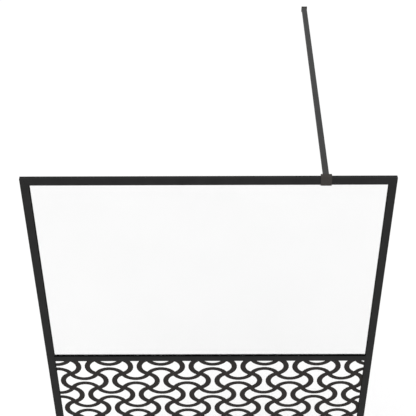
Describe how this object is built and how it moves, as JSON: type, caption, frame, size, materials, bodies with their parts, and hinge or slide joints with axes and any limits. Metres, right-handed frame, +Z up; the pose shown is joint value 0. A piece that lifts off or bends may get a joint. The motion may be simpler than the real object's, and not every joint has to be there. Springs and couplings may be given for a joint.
{
  "type": "walk-in shower screen",
  "caption": "Framed walk-in shower screen with a clear upper pane, an open fretwork lower panel, a wall channel and a square brace bar that ties its top to a wall.",
  "frame": {"origin": "middle of the bottom rail's underside, on the floor and in the middle of the glass thickness", "axes": "+X along the panel from the wall channel to the free edge, +Y from the panel towards the braced wall, +Z up"},
  "size_m": [1, 0.8869, 1.9545],
  "materials": {
    "frame_coat": "matt black powder coat on aluminium extrusion",
    "fret_coat": "brown-black powder coat on laser-cut steel sheet",
    "bar_coat": "satin black coat on square steel tube",
    "clamp_coat": "satin graphite coat on cast metal",
    "clear_glass": "clear toughened",
    "seal_rubber": "matt black",
    "zinc_steel": "zinc plated",
    "mill_aluminium": "mill finish",
    "cap_plastic": "matt black"
  },
  "bodies": {
    "channel": {"wall_channel": "frame_coat"},
    "panel": {"bottom_rail": "frame_coat", "channel_lock_nut_1": "zinc_steel", "channel_lock_nut_2": "zinc_steel", "channel_lock_nut_3": "zinc_steel", "channel_lock_screw_1": "zinc_steel", "channel_lock_screw_2": "zinc_steel", "channel_lock_screw_3": "zinc_steel", "corner_key_bottom_left": "mill_aluminium", "corner_key_bottom_right": "mill_aluminium", "corner_key_top_left": "mill_aluminium", "corner_key_top_right": "mill_aluminium", "corner_screw_bottom_left_rail": "zinc_steel", "corner_screw_bottom_left_stile": "zinc_steel", "corner_screw_bottom_right_rail": "zinc_steel", "corner_screw_bottom_right_stile": "zinc_steel", "corner_screw_top_left_rail": "zinc_steel", "corner_screw_top_left_stile": "zinc_steel", "corner_screw_top_right_rail": "zinc_steel", "corner_screw_top_right_stile": "zinc_steel", "fret_panel": "fret_coat", "fret_seal_bottom": "seal_rubber", "fret_seal_left": "seal_rubber", "fret_seal_right": "seal_rubber", "fret_seal_top": "seal_rubber", "fret_setting_block_left": "seal_rubber", "fret_setting_block_right": "seal_rubber", "glass_pane": "clear_glass", "glass_seal_bottom": "seal_rubber", "glass_seal_left": "seal_rubber", "glass_seal_right": "seal_rubber", "glass_seal_top": "seal_rubber", "glass_setting_block_left": "seal_rubber", "glass_setting_block_right": "seal_rubber", "left_stile": "frame_coat", "lock_screw_cap_1": "cap_plastic", "lock_screw_cap_2": "cap_plastic", "lock_screw_cap_3": "cap_plastic", "mid_rail": "frame_coat", "mid_rail_screw_left": "zinc_steel", "mid_rail_screw_right": "zinc_steel", "mid_rail_spigot_left": "mill_aluminium", "mid_rail_spigot_right": "mill_aluminium", "right_stile": "frame_coat", "top_rail": "frame_coat"},
    "clamp": {"clamp_body": "clamp_coat", "clamp_liner": "seal_rubber", "clamp_pressure_plate": "zinc_steel", "clamp_grub_screw_left": "zinc_steel", "clamp_grub_screw_right": "zinc_steel"},
    "brace": {"brace_bar": "bar_coat", "bar_lock_screw": "zinc_steel", "wall_socket": "clamp_coat", "wall_socket_screw": "zinc_steel"}
  },
  "joints": [
    {"name": "stile_slide", "type": "slide", "parent": "channel", "child": "panel", "axis": [1, 0, 0], "range_m": [0, 0.005]},
    {"name": "clamp_slide", "type": "slide", "parent": "panel", "child": "clamp", "axis": [1, 0, 0], "range_m": [-0.76, 0.138]},
    {"name": "bar_reach", "type": "slide", "parent": "clamp", "child": "brace", "axis": [0, 1, 0], "range_m": [0, 0.02]}
  ]
}
